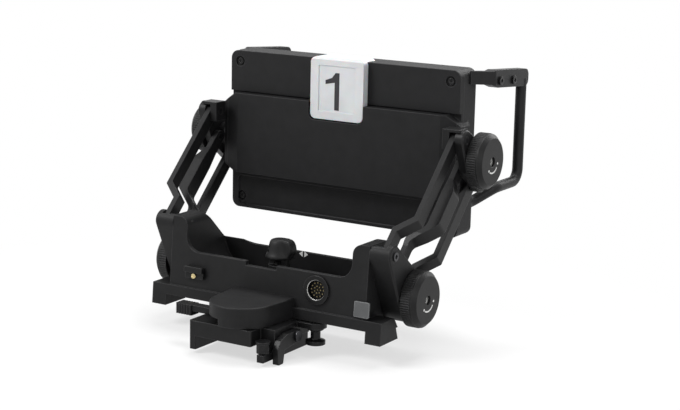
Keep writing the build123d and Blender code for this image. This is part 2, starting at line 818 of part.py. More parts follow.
# Head frame: ring with a back wall around the screen opening
head_z = (head_bottom + head_top) / 2
bezel_z = (bezel_bottom + bezel_top) / 2
bezel_height = bezel_top - bezel_bottom
with BuildPart() as head_frame:
    with BuildSketch(wall_plane(head_back_y)):
        with Locations((0, head_z)):
            RectangleRounded(2 * head_half_width, head_height, head_corner)
    extrude(amount=head_depth - cover_thickness)
    with BuildSketch(wall_plane(head_back_y - head_wall)):
        with Locations((0, head_z)):
            RectangleRounded(
                2 * (head_half_width - head_wall), head_height - 2 * head_wall, head_corner - head_wall
            )
    extrude(amount=head_depth, mode=Mode.SUBTRACT)
    with BuildSketch(wall_plane(head_back_y + 1)):
        with Locations((0, bezel_z)):
            RectangleRounded(2 * bezel_half_width - 12, bezel_height - 12, 6)
    extrude(amount=head_depth, mode=Mode.SUBTRACT)
save("head_frame", head_frame.part)

# Front cover: plate, faceted bulge, raised top band and recessed lower panel
band_y = head_front_y - 3 * band_rise
screw_x = head_half_width - screw_inset
screw_top_z = head_top - screw_inset
screw_bottom_z = head_bottom + screw_inset + 1
bulge_outline = [
    (-head_half_width, bulge_bottom + 4), (-bulge_half_width - 4, bulge_bottom),
    (bulge_half_width + 4, bulge_bottom), (head_half_width, bulge_bottom + 4),
    (head_half_width, bulge_top - 6), (bulge_half_width + 4, bulge_top),
    (-bulge_half_width - 4, bulge_top), (-head_half_width, bulge_top - 6),
]
with BuildPart() as front_cover:
    with BuildSketch(wall_plane(cover_back_y)):
        with BuildLine():
            Polyline(*bulge_outline, close=True)
        make_face()
    extrude(amount=cover_thickness + bulge_depth)
    facet_y = bulge_front_y + 3.9
    with BuildSketch(Plane.XY.offset(head_bottom)):
        with BuildLine():
            Polyline(
                (-head_half_width, cover_back_y), (-head_half_width, facet_y),
                (-bulge_half_width, bulge_front_y), (bulge_half_width, bulge_front_y),
                (head_half_width, facet_y), (head_half_width, cover_back_y), close=True,
            )
        make_face()
    extrude(amount=head_height, mode=Mode.INTERSECT)
    with BuildSketch(wall_plane(cover_back_y)):
        with Locations((0, head_z)):
            RectangleRounded(2 * head_half_width, head_height, head_corner)
    extrude(amount=cover_thickness)
    with BuildSketch(wall_plane(head_front_y)):
        with Locations((0, head_z)):
            RectangleRounded(2 * head_half_width, head_height, head_corner)
        with Locations((0, band_bottom - head_height)):
            Rectangle(3 * head_half_width, 2 * head_height, mode=Mode.SUBTRACT)
    extrude(amount=3 * band_rise)
    with BuildSketch(wall_plane(head_front_y)):
        with Locations((0, (head_bottom + bulge_bottom) / 2 - 1)):
            RectangleRounded(2 * head_half_width - 12, bulge_bottom - head_bottom - 8, 3)
    extrude(amount=-1, mode=Mode.SUBTRACT)
    with BuildSketch(wall_plane(cover_back_y)):
        with Locations((0, (bulge_bottom + bulge_top) / 2)):
            Rectangle(2 * bulge_half_width - 6, bulge_top - bulge_bottom - 6)
    extrude(amount=cover_thickness + bulge_depth - 3, mode=Mode.SUBTRACT)
    # Notch that the tally cover sits in, with a wall behind it
    notch_half = tally_half + tally_gap
    notch_bottom = tally_bottom - tally_gap
    with BuildSketch(wall_plane(cover_back_y)):
        with Locations((0, (notch_bottom - 3 + bulge_top) / 2)):
            Rectangle(2 * notch_half + 6, bulge_top - notch_bottom + 3)
    extrude(amount=cover_thickness + bulge_depth)
    with BuildSketch(wall_plane(band_y)):
        with Locations((0, notch_bottom + head_height / 2)):
            RectangleRounded(2 * notch_half, head_height, tally_rounding + tally_gap)
    extrude(amount=bulge_depth, mode=Mode.SUBTRACT)
    for z, face in ((screw_top_z, band_y), (screw_bottom_z, head_front_y + 1)):
        with BuildSketch(wall_plane(face)):
            with Locations((-screw_x, z), (screw_x, z)):
                Circle(screw_sink_radius)
        extrude(amount=-screw_sink, mode=Mode.SUBTRACT)
save("front_cover", front_cover.part)

# Screws sunk at the corners of the front cover
with BuildPart() as cover_screws:
    for x in (-screw_x, screw_x):
        for z, face in (
            (screw_top_z, band_y + screw_sink), (screw_bottom_z, head_front_y + 1 + screw_sink),
        ):
            with BuildSketch(wall_plane(face)):
                with Locations((x, z)):
                    Circle(2.8)
            extrude(amount=1.4)
            with BuildSketch(wall_plane(face - 1.4)):
                with Locations((x, z)):
                    Rectangle(3.4, 0.8)
                    Rectangle(0.8, 3.4)
            extrude(amount=-0.8, mode=Mode.SUBTRACT)
save("cover_screws", cover_screws.part)

# White tally cover in its notch, wrapped over the top edge of the head
with BuildPart() as tally_cover:
    with BuildSketch(Plane.YZ.offset(-tally_half)):
        with BuildLine():
            Polyline(
                (tally_front_y, tally_bottom), (tally_front_y, tally_top - 2), (tally_front_y + 2, tally_top),
                (head_back_y - 14, tally_top), (head_back_y - 14, head_top), (band_y, head_top),
                (band_y, tally_bottom), close=True,
            )
        make_face()
    extrude(amount=2 * tally_half)
    tally_height = tally_top - tally_bottom
    with BuildSketch(wall_plane(head_back_y)):
        with Locations((0, tally_bottom + tally_height / 2)):
            RectangleRounded(2 * tally_half, tally_height, tally_rounding)
    extrude(amount=head_depth + bulge_depth, mode=Mode.INTERSECT)
    with BuildSketch(Plane.YZ.offset(tally_wall - tally_half)):
        with BuildLine():
            Polyline(
                (tally_front_y + tally_wall, tally_bottom + tally_rounding),
                (tally_front_y + tally_wall, head_top), (band_y, head_top),
                (band_y, tally_bottom + tally_rounding), close=True,
            )
        make_face()
    extrude(amount=2 * (tally_half - tally_wall), mode=Mode.SUBTRACT)
    with BuildSketch(wall_plane(tally_front_y)):
        with Locations((0, tally_bottom + tally_height / 2)):
            RectangleRounded(2 * tally_half - 16, tally_height - 14, 1)
    extrude(amount=-0.6, mode=Mode.SUBTRACT)
save("tally_cover", tally_cover.part)

with BuildPart() as tally_lamp_board:
    with BuildSketch(wall_plane(band_y)):
        with Locations((0, (bulge_top + head_top) / 2)):
            Rectangle(2 * tally_half - 14, 22)
    extrude(amount=board_thickness)
    with BuildSketch(wall_plane(band_y - board_thickness)):
        with Locations((0, (bulge_top + head_top) / 2)):
            with GridLocations(12, 10, 3, 2):
                Circle(2.4)
    extrude(amount=3)
save("tally_lamp_board", tally_lamp_board.part)

# Tilt ears on the flanks, with the boss that the head turns on
with BuildPart() as tilt_ear_right:
    with BuildSketch(Plane.XY.offset(ear_bottom - 4)):
        with BuildLine():
            Polyline(
                (head_half_width, facet_y), (ear_half_width, facet_y + 1.2),
                (ear_half_width, tilt_axis[0] + ear_reach - ear_thickness),
                (head_half_width, tilt_axis[0] + ear_reach), close=True,
            )
        make_face()
    extrude(amount=ear_top - ear_bottom + 8)
    with BuildSketch(wall_plane(head_back_y)):
        with BuildLine():
            Polyline(
                (head_half_width, ear_bottom - 2), (ear_half_width, ear_bottom),
                (ear_half_width, ear_top), (head_half_width, ear_top + 3), close=True,
            )
        make_face()
    extrude(amount=head_depth + bulge_depth, mode=Mode.INTERSECT)
    with BuildSketch(side_plane(ear_half_width)):
        with Locations(tilt_axis):
            Circle(tilt_boss_radius)
    extrude(amount=coupler_inner - seat_gap - ear_half_width)
    with BuildSketch(side_plane(head_half_width)):
        with Locations(tilt_axis):
            Circle(tilt_shaft_radius)
    extrude(amount=coupler_inner - head_half_width, mode=Mode.SUBTRACT)
save("tilt_ear_right", tilt_ear_right.part)
save("tilt_ear_left", mirrored(tilt_ear_right).part)

upper_shaft_end = upper_knob_inner + knob_thickness - knob_counterbore + cover_gap
with BuildPart() as tilt_shafts:
    for side in (-1, 1):
        with BuildSketch(side_plane(side * head_half_width)):
            with Locations(tilt_axis):
                Circle(tilt_shaft_radius)
        extrude(amount=side * (upper_shaft_end - head_half_width))
save("tilt_shafts", tilt_shafts.part)
save("upper_knob_screws", slotted_heads(upper_shaft_end, *tilt_axis).part)

# Screen side: bezel box, display, window, board and controls
with BuildPart() as rear_bezel:
    with BuildSketch(back_plane(head_back_y)):
        with Locations((0, bezel_z)):
            RectangleRounded(2 * bezel_half_width, bezel_height, 8)
    extrude(amount=bezel_depth)
    chamfer(rear_bezel.faces().sort_by(Axis.Y)[-1].edges(), 1.5)
    with BuildSketch(back_plane(head_back_y)):
        with Locations((0, bezel_z)):
            RectangleRounded(2 * bezel_half_width - 12, bezel_height - 12, 6)
    extrude(amount=bezel_depth - head_wall, mode=Mode.SUBTRACT)
    with BuildSketch(back_plane(head_back_y)):
        with Locations((0, screen_z)):
            RectangleRounded(screen_width, screen_height, 2)
        for x in (70, 46, 22):
            with Locations((x, control_z)):
                Circle(2.0 + shaft_clearance)
        for x in (-2, -22):
            with Locations((x, control_z)):
                Circle(button_radius + seat_gap)
        with Locations((-46, control_z)):
            Rectangle(4.0, 11.0)
        with Locations((-70, control_z)):
            Circle(4.0)
    extrude(amount=2 * bezel_depth, mode=Mode.SUBTRACT)
save("rear_bezel", rear_bezel.part)

panel_front = bezel_back_y - head_wall
with BuildPart() as display_panel:
    with BuildSketch(wall_plane(panel_front)):
        with Locations((0, screen_z)):
            Rectangle(screen_width + 10, screen_height + 8)
    extrude(amount=panel_thickness)
save("display_panel", display_panel.part)

with BuildPart() as screen_window:
    with BuildSketch(back_plane(panel_front)):
        with Locations((0, screen_z)):
            RectangleRounded(screen_width - 2 * cover_gap, screen_height - 2 * cover_gap, 2)
    extrude(amount=window_thickness)
save("screen_window", screen_window.part)

with BuildPart() as main_board:
    with BuildSketch(wall_plane(head_back_y - head_wall)):
        with Locations((0, bezel_z)):
            Rectangle(2 * bezel_half_width, bezel_height - 4)
    extrude(amount=board_thickness)
save("main_board", main_board.part)


def dial(x):
    with BuildPart() as piece:
        with BuildSketch(back_plane(bezel_back_y + seat_gap)):
            with Locations((-x, control_z)):
                knurled_outline(dial_radius, 20, 0.5)
        extrude(amount=dial_length)
        with BuildSketch(back_plane(bezel_back_y + seat_gap + dial_length)):
            with Locations((-x, control_z + dial_radius / 2)):
                Rectangle(1.0, dial_radius)
        extrude(amount=-0.6, mode=Mode.SUBTRACT)
        with BuildSketch(back_plane(bezel_back_y - 2 * head_wall)):
            with Locations((-x, control_z)):
                Circle(2.0)
        extrude(amount=2 * head_wall + seat_gap)
    return piece


save("brightness_dial", dial(-70).part)
save("contrast_dial", dial(-46).part)
save("peaking_dial", dial(-22).part)


def button(x):
    with BuildPart() as piece:
        with BuildSketch(back_plane(panel_front - button_travel - face_gap)):
            with Locations((-x, control_z)):
                Circle(button_radius)
        extrude(amount=head_wall + 2 * button_travel + face_gap + 1)
        with BuildSketch(back_plane(panel_front - seat_gap)):
            with Locations((-x, control_z)):
                Circle(button_radius + 1.5)
        extrude(amount=-1.5)
    return piece


save("peaking_button", button(2).part)
save("marker_button", button(22).part)

with BuildPart() as toggle_switch:
    with BuildSketch(side_plane(46 - 1.5)):
        with Locations((panel_front, control_z)):
            Circle(3.5)
        with Locations((panel_front + 7, control_z)):
            Rectangle(14, 3.0)
        with Locations((panel_front + 14, control_z)):
            Circle(2.0)
    extrude(amount=3.0)
save("toggle_switch", toggle_switch.part)

with BuildPart() as operator_tally_window:
    with BuildSketch(back_plane(panel_front)):
        with Locations((-70, control_z)):
            Circle(4.0)
    extrude(amount=head_wall + 0.8)
save("operator_tally_window", operator_tally_window.part)

# Handles: flat bars at the top with a bent round rod that returns to the housing
with BuildPart() as handle_rod_right:
    with BuildLine():
        rod_path = FilletPolyline(
            (bar_x, rod_back_y, bar_top - bar_height), (bar_x, rod_back_y, rod_bottom_z),
            (bar_x, rod_kink_y, rod_bottom_z), (rod_foot_x, rod_kink_y - 14, rod_foot_z),
            (rod_foot_x, head_back_y, rod_foot_z), radius=rod_bend,
        )
    with BuildSketch(Plane(origin=rod_path @ 0, z_dir=rod_path % 0)):
        Circle(rod_radius)
    sweep()
save("handle_rod_right", handle_rod_right.part)
save("handle_rod_left", mirrored(handle_rod_right).part)



def bar_z(y):
    """Height of the sloping top of the handle bar at y."""
    return bar_top - (y - head_front_y) * sin(radians(bar_drop))


with BuildPart() as handle_bar_right:
    with BuildSketch(side_plane(head_half_width)):
        with BuildLine():
            Polyline(
                (bar_start_y, bar_z(bar_start_y) - 1), (bar_pad_y - 2, bar_z(bar_pad_y) - 1),
                (bar_pad_y + 2, bar_z(bar_pad_y)), (bar_end_y, bar_z(bar_end_y)),
                (bar_end_y, bar_z(bar_end_y) - bar_height), (bar_pad_y + 4, bar_z(bar_pad_y) - bar_height),
                (bar_pad_y - 4, bar_z(bar_pad_y) - 1 - bar_arm_height),
                (bar_start_y, bar_z(bar_start_y) - 1 - bar_arm_height), close=True,
            )
        make_face()
    extrude(amount=bar_inner + bar_thickness - head_half_width)
    with BuildSketch(Plane.XY.offset(bar_z(bar_end_y) - 2 * bar_height)):
        with BuildLine():
            Polyline(
                (head_half_width, bar_start_y), (head_half_width + 1.5, bar_start_y),
                (bar_inner + bar_thickness, bar_pad_y), (bar_inner + bar_thickness, bar_end_y),
                (bar_inner, bar_end_y), (bar_inner, bar_pad_y + 6), (head_half_width, head_back_y), close=True,
            )
        make_face()
    extrude(amount=4 * bar_height, mode=Mode.INTERSECT)
    fillet(handle_bar_right.edges().filter_by(Axis.X).group_by(Axis.Y)[-1], 6)
    add(handle_rod_right.part, mode=Mode.SUBTRACT)
save("handle_bar_right", handle_bar_right.part)
save("handle_bar_left", mirrored(handle_bar_right).part)

with BuildPart() as handle_screws:
    for side in (-1, 1):
        for y in (bar_pad_y + 8, bar_pad_y + 33):
            z = bar_z(y) - bar_height / 2 - 1.5
            with BuildSketch(side_plane(side * (bar_inner + bar_thickness))):
                with Locations((y, z)):
                    Circle(3.6)
                    RegularPolygon(1.8, 6, mode=Mode.SUBTRACT)
            extrude(amount=side * 1.8)
save("handle_screws", handle_screws.part)

# Front fittings of the base: multi-pin connector, pad, cable clamp and centre lock knob
socket_face = front_face(connector_x, connector_z)
with BuildPart() as connector_shell:
    with BuildSketch(socket_face):
        Circle(connector_ring)
        Circle(connector_bore, mode=Mode.SUBTRACT)
    extrude(amount=2.0)
    with BuildSketch(socket_face):
        Circle(connector_bore + 1.0)
        Circle(connector_bore, mode=Mode.SUBTRACT)
    extrude(amount=-connector_depth)
save("connector_shell", connector_shell.part)

with BuildPart() as connector_insert:
    with BuildSketch(socket_face.offset(-3.0)):
        Circle(connector_bore)
    extrude(amount=3.0 - connector_depth)
save("connector_insert", connector_insert.part)

with BuildPart() as connector_pins:
    with BuildSketch(socket_face.offset(-3.0)):
        with PolarLocations(5.6, 12):
            Circle(connector_pin_radius)
        with PolarLocations(2.8, 7):
            Circle(connector_pin_radius)
        Circle(connector_pin_radius)
    extrude(amount=2.2)
save("connector_pins", connector_pins.part)

with BuildPart() as cover_plate:
    with BuildSketch(front_face(pad_x, pad_z)):
        RectangleRounded(pad_width, pad_height, 1)
    extrude(amount=pad_thickness)
save("cover_plate", cover_plate.part)

with BuildPart() as cable_clamp:
    with BuildSketch(front_face(clamp_x, clamp_z)):
        RectangleRounded(18.1, 10.0, 1)
    extrude(amount=3.0)
    with BuildSketch(front_face(clamp_x, clamp_z + 2.6)):
        RectangleRounded(18.1, 4.8, 1)
    extrude(amount=5.5)
save("cable_clamp", cable_clamp.part)

with BuildPart() as cable_clamp_screw:
    screw_face = front_face(clamp_x, clamp_z - 2.7).offset(3.0)
    with BuildSketch(screw_face):
        Circle(2.1)
    extrude(amount=1.2)
    with BuildSketch(screw_face.offset(1.2)):
        Rectangle(5.0, 0.6)
    extrude(amount=-0.6, mode=Mode.SUBTRACT)
save("cable_clamp_screw", cable_clamp_screw.part)

with BuildPart() as centre_lock_knob:
    with BuildSketch(Plane.XY.offset(lock_base)):
        with Locations((0, lock_y)):
            Circle(lock_radius)
    extrude(amount=lock_top - lock_base, taper=12)
    with BuildSketch(Plane.XY.offset(lock_base + 1)):
        with Locations((lock_radius - 2, lock_y)):
            RectangleRounded(9, 5, 1.5)
    extrude(amount=8)
    with BuildSketch(Plane.XY.offset(lock_top)):
        with Locations((-3.4, lock_y), (3.4, lock_y)):
            Circle(1.5)
    extrude(amount=-4, mode=Mode.SUBTRACT)
    with BuildSketch(Plane.XY.offset(lock_base)):
        with Locations((0, lock_y)):
            Circle(lock_stud_radius - shaft_clearance)
    extrude(amount=floor_height - lock_base)
save("centre_lock_knob", centre_lock_knob.part)
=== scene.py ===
import json
import math

import bpy
from mathutils import Matrix, Vector


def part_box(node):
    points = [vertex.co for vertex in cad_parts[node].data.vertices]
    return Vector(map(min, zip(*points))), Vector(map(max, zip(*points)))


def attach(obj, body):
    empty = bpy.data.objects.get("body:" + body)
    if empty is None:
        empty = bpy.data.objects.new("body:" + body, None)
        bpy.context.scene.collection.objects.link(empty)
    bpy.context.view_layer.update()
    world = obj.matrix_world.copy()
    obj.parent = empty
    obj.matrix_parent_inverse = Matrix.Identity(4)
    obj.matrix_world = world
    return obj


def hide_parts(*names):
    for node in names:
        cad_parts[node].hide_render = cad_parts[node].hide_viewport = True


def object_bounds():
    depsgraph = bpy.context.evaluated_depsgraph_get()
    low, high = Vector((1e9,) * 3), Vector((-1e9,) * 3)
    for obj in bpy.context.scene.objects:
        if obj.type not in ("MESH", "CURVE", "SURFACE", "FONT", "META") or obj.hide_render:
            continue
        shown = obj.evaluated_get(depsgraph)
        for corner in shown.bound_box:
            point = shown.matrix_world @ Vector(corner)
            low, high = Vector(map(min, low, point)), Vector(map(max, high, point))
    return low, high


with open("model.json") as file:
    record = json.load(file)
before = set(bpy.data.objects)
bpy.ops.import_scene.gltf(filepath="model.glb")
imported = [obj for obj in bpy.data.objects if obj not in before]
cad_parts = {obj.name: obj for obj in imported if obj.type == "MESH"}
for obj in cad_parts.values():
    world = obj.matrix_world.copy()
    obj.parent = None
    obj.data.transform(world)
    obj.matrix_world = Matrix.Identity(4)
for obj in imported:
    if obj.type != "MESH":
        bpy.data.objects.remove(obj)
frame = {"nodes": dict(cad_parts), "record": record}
cad_box = [list(corner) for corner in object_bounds()]
nodes = frame["nodes"]
scene = bpy.context.scene
scene.view_settings.view_transform = "Standard"

# ---------------------------------------------------------------- camera
# The camera stands where the photograph's camera stood, at the same angle.
camera_data = bpy.data.cameras.new("camera")
camera_data.lens = 87.12
camera_data.sensor_width = 36.0
camera = bpy.data.objects.new("camera", camera_data)
scene.collection.objects.link(camera)
right = Vector((0.8519, 0.5232, 0.0212))
down = Vector((0.1252, -0.1641, -0.9785))
forward = Vector((-0.5085, 0.8363, -0.2053))
turn = Matrix((right, -down, -forward)).transposed().to_4x4()
camera_place = (0.7185, -1.0465, 0.3722)
camera.matrix_world = Matrix.Translation(camera_place) @ turn
camera_data.clip_start = 0.05
camera_data.clip_end = 20.0
scene.camera = camera


# ---------------------------------------------------------------- materials
def shader(name):
    """A new material with its node tree, Principled shader and object coordinates."""
    material = bpy.data.materials.new(name)
    material.use_nodes = True
    tree = material.node_tree
    principled = tree.nodes["Principled BSDF"]
    coords = tree.nodes.new("ShaderNodeTexCoord")
    return material, tree, principled, coords.outputs["Object"]


def noise(tree, vector, scale, detail=3.0, roughness=0.55):
    node = tree.nodes.new("ShaderNodeTexNoise")
    node.inputs["Scale"].default_value = scale
    node.inputs["Detail"].default_value = detail
    node.inputs["Roughness"].default_value = roughness
    tree.links.new(vector, node.inputs["Vector"])
    return node.outputs["Fac"]


def remap(tree, value, low, high, start=0.3, end=0.7):
    node = tree.nodes.new("ShaderNodeMapRange")
    node.inputs["From Min"].default_value = start
    node.inputs["From Max"].default_value = end
    node.inputs["To Min"].default_value = low
    node.inputs["To Max"].default_value = high
    tree.links.new(value, node.inputs["Value"])
    return node.outputs["Result"]


def blend_colours(tree, factor, first, second):
    node = tree.nodes.new("ShaderNodeMix")
    node.data_type = "RGBA"
    node.inputs[6].default_value = (*first, 1.0)
    node.inputs[7].default_value = (*second, 1.0)
    tree.links.new(factor, node.inputs[0])
    return node.outputs[2]


def bump(tree, height, strength, distance, normal=None):
    node = tree.nodes.new("ShaderNodeBump")
    node.inputs["Strength"].default_value = strength
    node.inputs["Distance"].default_value = distance
    tree.links.new(height, node.inputs["Height"])
    if normal is not None:
        tree.links.new(normal, node.inputs["Normal"])
    return node.outputs["Normal"]


def soft_edges(tree, radius):
    node = tree.nodes.new("ShaderNodeBevel")
    node.samples = 6
    node.inputs["Radius"].default_value = radius
    return node.outputs["Normal"]


def coated(name, dark, light, rough, grain, strength, spread=90.0, edge=0.0009, specular=0.20):
    """Paint, anodising or moulded plastic: grain in the bump, slow drift in colour and gloss, and a painted
    highlight on rounded edges.
    """
    material, tree, principled, vector = shader(name)
    drift = noise(tree, vector, spread, 2.0)
    fine = noise(tree, vector, grain, 2.0, 0.6)
    body = blend_colours(tree, remap(tree, drift, 0.0, 1.0), dark, light)
    # Painted highlight: rounded edges are painted lighter than the faces, as if they caught the light
    geometry = tree.nodes.new("ShaderNodeNewGeometry")
    turned = tree.nodes.new("ShaderNodeVectorMath")
    turned.operation = "DOT_PRODUCT"
    tree.links.new(soft_edges(tree, 1.2 * edge), turned.inputs[0])
    tree.links.new(geometry.outputs["Normal"], turned.inputs[1])
    painted_edge_highlight = tree.nodes.new("ShaderNodeMix")
    painted_edge_highlight.data_type = "RGBA"
    tree.links.new(remap(tree, turned.outputs["Value"], 1.0, 0.0, 0.86, 0.985), painted_edge_highlight.inputs[0])
    tree.links.new(body, painted_edge_highlight.inputs[6])
    painted_edge_highlight.inputs[7].default_value = (*[min(0.9, 2.6 * c + 0.012) for c in light], 1.0)
    tree.links.new(painted_edge_highlight.outputs[2], principled.inputs["Base Color"])
    tree.links.new(remap(tree, fine, rough[0], rough[1]), principled.inputs["Roughness"])
    normal = bump(tree, fine, strength, 0.0002, soft_edges(tree, edge))
    tree.links.new(normal, principled.inputs["Normal"])
    principled.inputs["Specular IOR Level"].default_value = specular
    return material


def brushed(name, dark, light, rough, stretch):
    """Turned or brushed metal with fine lines along the given stretch."""
    material, tree, principled, vector = shader(name)
    mapping = tree.nodes.new("ShaderNodeMapping")
    mapping.inputs["Scale"].default_value = stretch
    tree.links.new(vector, mapping.inputs["Vector"])
    lines = noise(tree, mapping.outputs["Vector"], 900.0, 3.0)
    body = blend_colours(tree, remap(tree, lines, 0.0, 1.0), dark, light)
    tree.links.new(body, principled.inputs["Base Color"])
    tree.links.new(remap(tree, lines, rough[0], rough[1]), principled.inputs["Roughness"])
    normal = bump(tree, lines, 0.12, 0.0001, soft_edges(tree, 0.0002))
    tree.links.new(normal, principled.inputs["Normal"])
    principled.inputs["Metallic"].default_value = 1.0
    return material


materials = {
    "base_paint": coated(
        "cast_black_paint", (0.0059, 0.0059, 0.0062), (0.0087, 0.0087, 0.0091), (0.46, 0.60), 1500, 0.34,
    ),
    "head_paint": coated(
        "head_black_paint", (0.0074, 0.0074, 0.0079), (0.0102, 0.0102, 0.0108), (0.50, 0.64), 1800, 0.32,
    ),
    "arm_paint": coated(
        "arm_black_paint", (0.0053, 0.0053, 0.0056), (0.0077, 0.0077, 0.0081), (0.36, 0.48), 1800, 0.22,
    ),
    "handle_paint": coated(
        "handle_paint", (0.0087, 0.0087, 0.0092), (0.0118, 0.0118, 0.0124), (0.38, 0.52), 1800, 0.22,
    ),
    "clamp_finish": coated(
        "anodised_black", (0.0043, 0.0043, 0.0046), (0.0065, 0.0065, 0.0068), (0.30, 0.42), 2600, 0.14,
    ),
    "turned_black": coated(
        "turned_black", (0.0043, 0.0043, 0.0046), (0.0068, 0.0068, 0.0071), (0.26, 0.38), 2600, 0.10,
    ),
    "knob_plastic": coated(
        "knob_plastic", (0.0050, 0.0050, 0.0051), (0.0071, 0.0071, 0.0074), (0.38, 0.52), 2200, 0.20,
    ),
    "control_plastic": coated(
        "control_plastic", (0.0062, 0.0062, 0.0064), (0.0087, 0.0087, 0.0091), (0.42, 0.55), 2200, 0.22,
    ),
    "button_plastic": coated(
        "button_plastic", (0.0310, 0.0310, 0.0322), (0.0403, 0.0403, 0.0415), (0.45, 0.58), 2200, 0.2,
    ),
    "clamp_plastic": coated(
        "clip_plastic", (0.0056, 0.0056, 0.0059), (0.0081, 0.0081, 0.0084), (0.36, 0.48), 2200, 0.2,
    ),
    "bezel_plastic": coated(
        "bezel_plastic", (0.0062, 0.0062, 0.0066), (0.0087, 0.0087, 0.0092), (0.50, 0.62), 2000, 0.28,
    ),
    "panel": coated(
        "panel_black", (0.0050, 0.0050, 0.0056), (0.0074, 0.0074, 0.0081), (0.4, 0.5), 1500, 0.05,
    ),
    "cover_sheet": coated(
        "cover_sheet", (0.0074, 0.0074, 0.0081), (0.0112, 0.0112, 0.0118), (0.36, 0.48), 2600, 0.12,
    ),
    "pad_grey": coated(
        "pad_grey", (0.072, 0.074, 0.076), (0.090, 0.092, 0.094), (0.5, 0.62), 1800, 0.2, specular=0.4,
    ),
    "board": coated("board_green", (0.010, 0.075, 0.030), (0.014, 0.095, 0.040), (0.35, 0.5), 900, 0.1),
    "pin_steel": brushed(
        "blackened_steel", (0.045, 0.045, 0.048), (0.085, 0.085, 0.090), (0.30, 0.42), (1, 1, 6),
    ),
    "bright_steel": brushed(
        "bright_zinc", (0.50, 0.50, 0.49), (0.70, 0.70, 0.68), (0.26, 0.38), (1, 6, 1),
    ),
    "contact_gold": brushed(
        "contact_gold", (0.55, 0.42, 0.16), (0.72, 0.56, 0.24), (0.22, 0.34), (1, 1, 4),
    ),
}
yellow_zinc = brushed("yellow_zinc", (0.52, 0.43, 0.22), (0.68, 0.57, 0.32), (0.30, 0.42), (1, 6, 1))
print_white = coated(
    "print_white", (0.62, 0.62, 0.61), (0.72, 0.72, 0.71), (0.45, 0.58), 2400, 0.1, specular=0.4,
)
numeral_grey = coated(
    "numeral_grey", (0.030, 0.030, 0.032), (0.042, 0.042, 0.044), (0.40, 0.52), 2400, 0.08,
)


def translucent(name, dark, light, rough, inside, coat):
    material, tree, principled, vector = shader(name)
    drift = noise(tree, vector, 60.0, 2.0)
    body = blend_colours(tree, remap(tree, drift, 0.0, 1.0), dark, light)
    tree.links.new(body, principled.inputs["Base Color"])
    fine = noise(tree, vector, 1200.0, 2.0)
    tree.links.new(remap(tree, fine, rough[0], rough[1]), principled.inputs["Roughness"])
    tree.links.new(bump(tree, fine, 0.05, 0.0001, soft_edges(tree, 0.0006)), principled.inputs["Normal"])
    principled.inputs["Subsurface Weight"].default_value = inside
    principled.inputs["Subsurface Scale"].default_value = 0.003
    principled.inputs["Coat Weight"].default_value = coat
    principled.inputs["Coat Roughness"].default_value = 0.15
    return material


materials["tally_white"] = translucent(
    "tally_white", (0.58, 0.59, 0.605), (0.64, 0.65, 0.665), (0.34, 0.44), 0.35, 0.3,
)
materials["tally_red"] = translucent(
    "tally_red", (0.30, 0.012, 0.012), (0.38, 0.02, 0.02), (0.18, 0.26), 0.2, 0.5,
)
materials["screen_glass"] = translucent(
    "screen_glass", (0.004, 0.004, 0.005), (0.006, 0.006, 0.008), (0.08, 0.14), 0.0, 0.15,
)



def combine(tree, operation, first, second=None):
    """One Math node; each input is a socket or a number."""
    node = tree.nodes.new("ShaderNodeMath")
    node.operation = operation
    for socket, value in zip(node.inputs, (first, second)):
        if isinstance(value, (int, float)):
            socket.default_value = value
        elif value is not None:
            tree.links.new(value, socket)
    return node.outputs[0]


mark_radius = 0.0092
mark_half_line = 0.0006
mark_dot_radius = 0.0010


def printed_knob(name, y, z):
    """Knob plastic with the white turning mark printed on the outer face: an arc that ends in two dots."""
    material = coated(name, (0.0050, 0.0050, 0.0052), (0.0072, 0.0072, 0.0075), (0.38, 0.52), 2200, 0.20)
    tree = material.node_tree
    principled = tree.nodes["Principled BSDF"]
    parts = tree.nodes.new("ShaderNodeSeparateXYZ")
    tree.links.new(tree.nodes["Texture Coordinate"].outputs["Object"], parts.inputs[0])
    across = combine(tree, "SUBTRACT", parts.outputs["Y"], y)
    up = combine(tree, "SUBTRACT", parts.outputs["Z"], z)
    squares = combine(
        tree, "ADD", combine(tree, "MULTIPLY", across, across), combine(tree, "MULTIPLY", up, up)
    )
    on_ring = combine(tree, "COMPARE", combine(tree, "SQRT", squares), mark_radius)
    on_ring.node.inputs[2].default_value = mark_half_line
    angle = combine(tree, "ARCTAN2", up, across)
    on_arc = combine(tree, "COMPARE", angle, math.radians(-77.5))
    on_arc.node.inputs[2].default_value = math.radians(42.5)
    mark = combine(tree, "MULTIPLY", on_ring, on_arc)
    for degrees in (-133, -15):
        off_y = combine(tree, "SUBTRACT", across, mark_radius * math.cos(math.radians(degrees)))
        off_z = combine(tree, "SUBTRACT", up, mark_radius * math.sin(math.radians(degrees)))
        gap = combine(
            tree, "ADD", combine(tree, "MULTIPLY", off_y, off_y), combine(tree, "MULTIPLY", off_z, off_z)
        )
        dot = combine(tree, "LESS_THAN", gap, mark_dot_radius ** 2)
        mark = combine(tree, "MAXIMUM", mark, dot)
    body = principled.inputs["Base Color"].links[0].from_socket
    ink = tree.nodes.new("ShaderNodeMix")
    ink.data_type = "RGBA"
    tree.links.new(mark, ink.inputs[0])
    tree.links.new(body, ink.inputs[6])
    ink.inputs[7].default_value = (0.70, 0.70, 0.69, 1.0)
    tree.links.new(ink.outputs[2], principled.inputs["Base Color"])
    return material


def middle_of(node):
    low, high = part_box(node)
    return [(a + b) / 2 for a, b in zip(low, high)]


